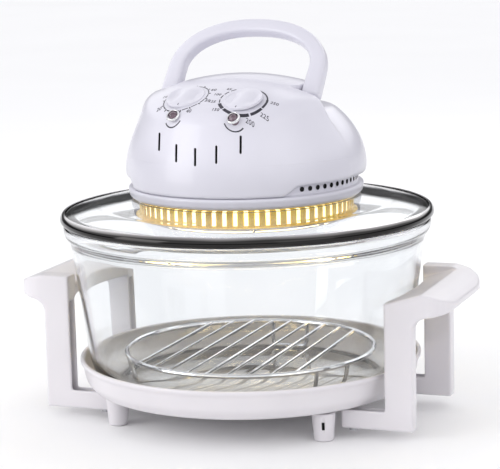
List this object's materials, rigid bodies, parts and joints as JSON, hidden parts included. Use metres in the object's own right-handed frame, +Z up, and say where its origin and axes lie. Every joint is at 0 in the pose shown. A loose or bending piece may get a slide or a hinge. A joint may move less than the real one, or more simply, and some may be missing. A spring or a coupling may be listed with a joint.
{
  "type": "glass bowl convection oven",
  "caption": "Countertop convection oven: a glass bowl in a white stand with side handles, under a glass lid that carries the motor head, lamp, dials and folding carry handle.",
  "frame": {"origin": "on the floor under the bowl's axis, at the middle of the bottom of the whole object's box", "axes": "+X to the right-hand side handle, -Y to the front, +Z up"},
  "size_m": [0.407, 0.3342, 0.3514],
  "materials": {
    "white_plastic": "smooth gloss, cool white",
    "clear_glass": "clear tempered glass",
    "chrome": "polished",
    "chrome_wire": "plated wire",
    "plain_steel": "plain",
    "gold_metal": "gold anodised",
    "lamp_glass": "quartz tube, lit",
    "ceramic": "unglazed ceramic",
    "black_plastic": "matt",
    "black_rubber": "matt",
    "indicator_lens": "smoked clear dome"
  },
  "bodies": {
    "stand": {"tray": "white_plastic", "foot_front_left": "white_plastic", "foot_front_right": "white_plastic", "foot_rear_left": "white_plastic", "foot_rear_right": "white_plastic", "arm_screw_front_left": "plain_steel", "arm_screw_front_right": "plain_steel", "arm_screw_rear_left": "plain_steel", "arm_screw_rear_right": "plain_steel", "side_handle_left": "white_plastic", "side_handle_right": "white_plastic"},
    "bowl": {"bowl": "clear_glass"},
    "rack": {"rack": "chrome_wire"},
    "lid": {"lid_glass": "clear_glass", "lid_rim_band": "chrome", "guard_skirt": "gold_metal", "wire_guard": "chrome_wire", "retaining_ring": "plain_steel", "reflector": "chrome", "lamp_tube": "lamp_glass", "lamp_holder_left": "ceramic", "lamp_holder_right": "ceramic", "base_ring": "white_plastic", "motor_plate": "plain_steel", "motor": "plain_steel", "motor_post_left": "plain_steel", "motor_post_right": "plain_steel", "top_housing": "white_plastic", "cord_gland": "black_rubber", "timer_unit": "plain_steel", "thermostat_unit": "plain_steel", "power_indicator_lens": "indicator_lens", "power_indicator_bezel": "chrome", "heat_indicator_lens": "indicator_lens", "heat_indicator_bezel": "chrome", "safety_switch": "black_plastic"},
    "fan": {"motor_shaft": "plain_steel", "hot_air_fan": "plain_steel", "cooling_fan": "black_plastic"},
    "timer_knob": {"timer_knob": "white_plastic", "timer_spindle": "plain_steel"},
    "thermostat_knob": {"thermostat_knob": "white_plastic", "thermostat_spindle": "plain_steel"},
    "carry_handle": {"carry_handle": "white_plastic", "handle_pin_left": "plain_steel", "handle_pin_right": "plain_steel"}
  },
  "joints": [
    {"name": "bowl_lift", "type": "slide", "parent": "stand", "child": "bowl", "axis": [0, 0, 1], "range_m": [0, 0.2]},
    {"name": "rack_lift", "type": "slide", "parent": "bowl", "child": "rack", "axis": [0, 0, 1], "range_m": [0, 0.1]},
    {"name": "lid_lift", "type": "slide", "parent": "bowl", "child": "lid", "axis": [0, 0, 1], "range_m": [0, 0.2]},
    {"name": "carry_handle_fold", "type": "hinge", "parent": "lid", "child": "carry_handle", "pos_m": [-0.00052, -0.00598, 0.2906], "axis": [0.9962, -0.0872, 0], "range_deg": [-52, 36.8]},
    {"name": "timer_turn", "type": "hinge", "parent": "lid", "child": "timer_knob", "pos_m": [-0.03018, -0.0616, 0.29046], "axis": [-0.0354, -0.4052, 0.9135], "range_deg": [-300, 0]},
    {"name": "thermostat_turn", "type": "hinge", "parent": "lid", "child": "thermostat_knob", "pos_m": [0.02461, -0.0664, 0.28974], "axis": [-0.0354, -0.4052, 0.9135], "range_deg": [-300, 0]},
    {"name": "fan_spin", "type": "hinge", "parent": "lid", "child": "fan", "pos_m": [0, 0, 0.2], "axis": [0, 0, 1], "continuous": true}
  ]
}
